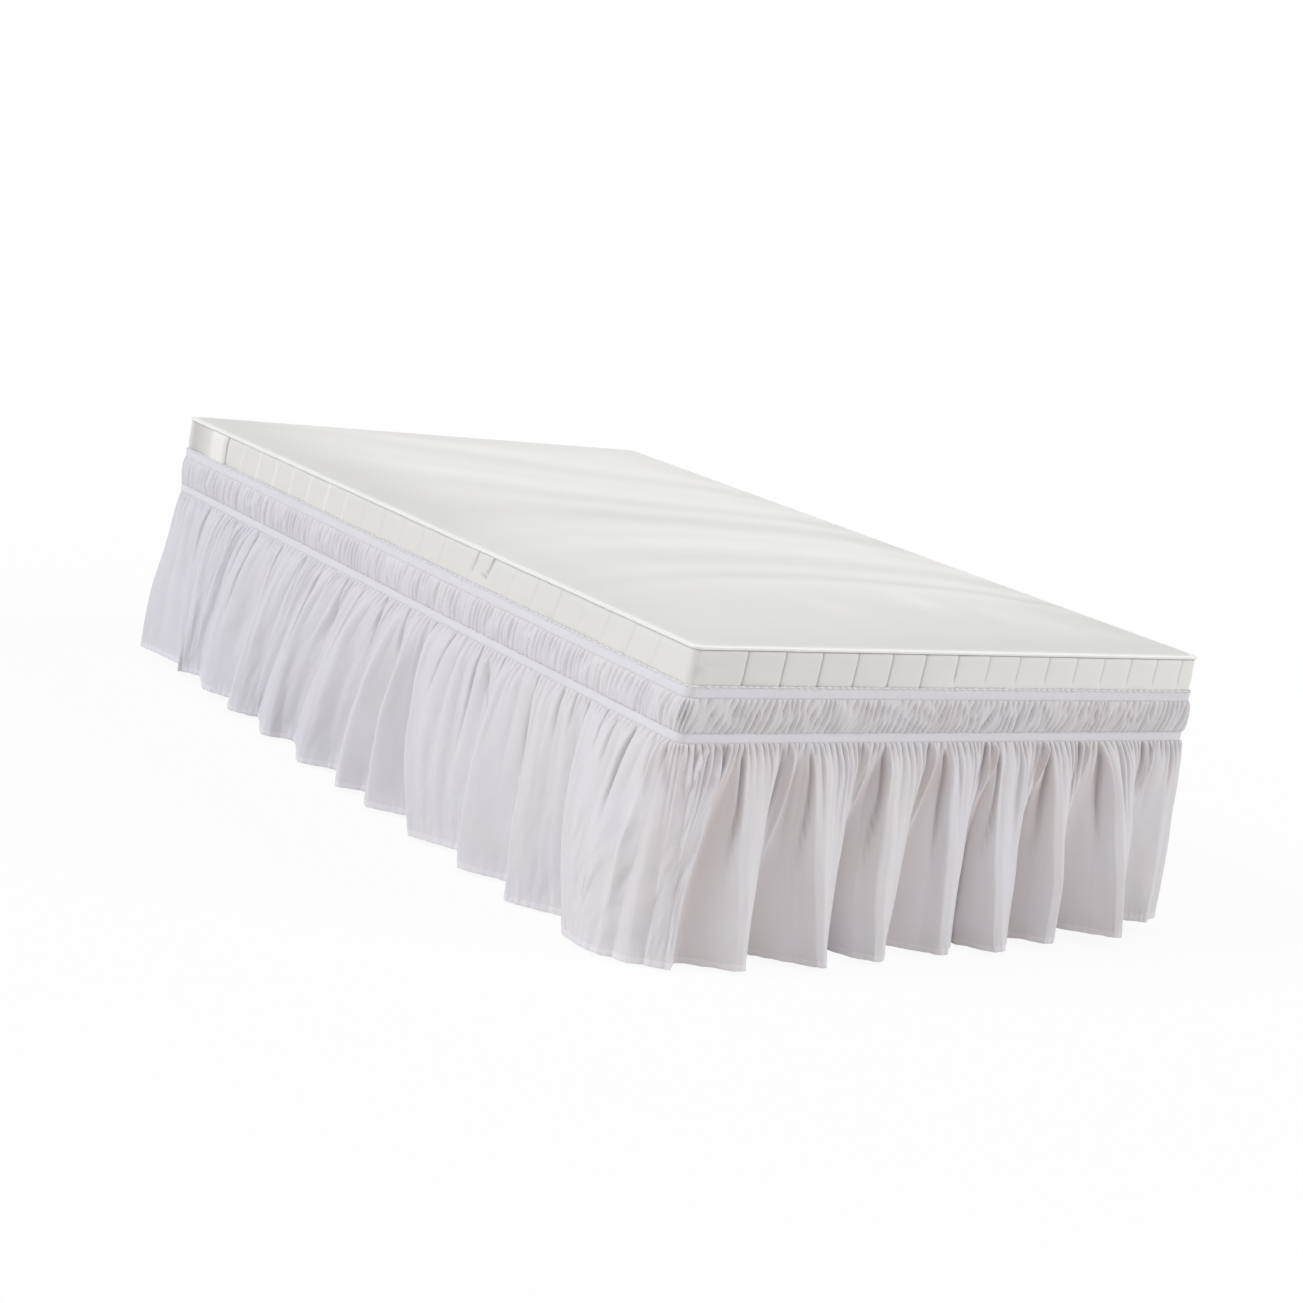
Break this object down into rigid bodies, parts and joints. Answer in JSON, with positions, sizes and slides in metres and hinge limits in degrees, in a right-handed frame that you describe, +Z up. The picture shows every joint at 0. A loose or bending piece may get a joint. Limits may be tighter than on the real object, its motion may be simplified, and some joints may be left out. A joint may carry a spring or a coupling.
{
  "type": "bed skirt on a box spring bed",
  "caption": "Gathered white wrap-around bed skirt with a ruffled strip between flat elastics, on a box spring with a piped, tucked border.",
  "frame": {"origin": "on the floor, under the middle of the whole part's box", "axes": "+Z up, -Y towards the foot of the bed, +Y towards its open head side, +X to the right seen from the foot"},
  "size_m": [1.3653, 2.0002, 0.551],
  "materials": {
    "skirt_cloth": "thin matt white plain-weave cotton and polyester cloth",
    "elastic": "flat woven white elastic with a picot edge",
    "cover": "soft off-white ticking over padding, tucked round the border",
    "piping": "smooth ivory piping with a slight sheen",
    "pale_wood": "plain pale timber, clear matt finish"
  },
  "bodies": {
    "root": {"skirt": "skirt_cloth", "elastic_upper": "elastic", "elastic_lower": "elastic", "box_spring": "cover", "top_piping": "piping", "bed_base": "pale_wood", "leg_1": "pale_wood", "leg_2": "pale_wood", "leg_3": "pale_wood", "leg_4": "pale_wood", "leg_5": "pale_wood", "leg_6": "pale_wood"}
  },
  "joints": []
}
